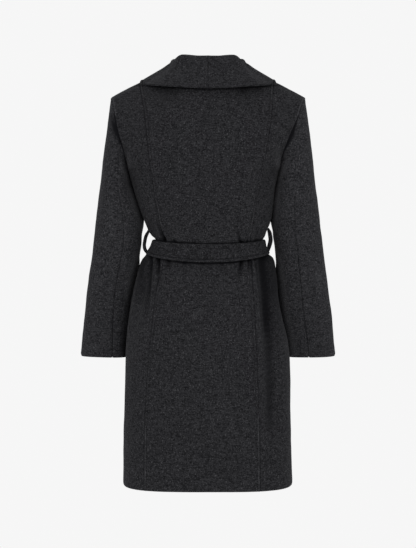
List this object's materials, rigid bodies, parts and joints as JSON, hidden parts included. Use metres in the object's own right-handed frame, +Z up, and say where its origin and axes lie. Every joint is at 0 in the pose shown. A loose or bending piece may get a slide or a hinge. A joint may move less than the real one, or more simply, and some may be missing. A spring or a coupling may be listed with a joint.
{
  "type": "belted wrap coat",
  "caption": "Knee-length belted wrap coat with a wide shawl collar in felted wool, open as worn, with its tie belt knotted in front.",
  "frame": {"origin": "on the centre line, level with the points where the shoulder seams meet the neck, where the wearer's shoulders carry the coat", "axes": "+Z up; the coat's back faces -Y and its fronts +Y; +X is the wearer's right"},
  "size_m": [0.6032, 0.2989, 0.974],
  "materials": {
    "coat_wool": "charcoal melange felted wool with pale fibre flecks and a short nap",
    "belt_wool": "the same charcoal melange wool, folded double and edge stitched"
  },
  "bodies": {
    "root": {"back_centre": "coat_wool", "back_side_left": "coat_wool", "back_side_right": "coat_wool", "front_left": "coat_wool", "front_right": "coat_wool", "sleeve_upper_left": "coat_wool", "sleeve_upper_right": "coat_wool", "sleeve_under_left": "coat_wool", "sleeve_under_right": "coat_wool", "collar_left": "coat_wool", "collar_right": "coat_wool", "belt_waist": "belt_wool", "belt_knot": "belt_wool", "belt_end_left": "belt_wool", "belt_end_right": "belt_wool", "belt_carrier_left": "belt_wool", "belt_carrier_right": "belt_wool"}
  },
  "joints": []
}
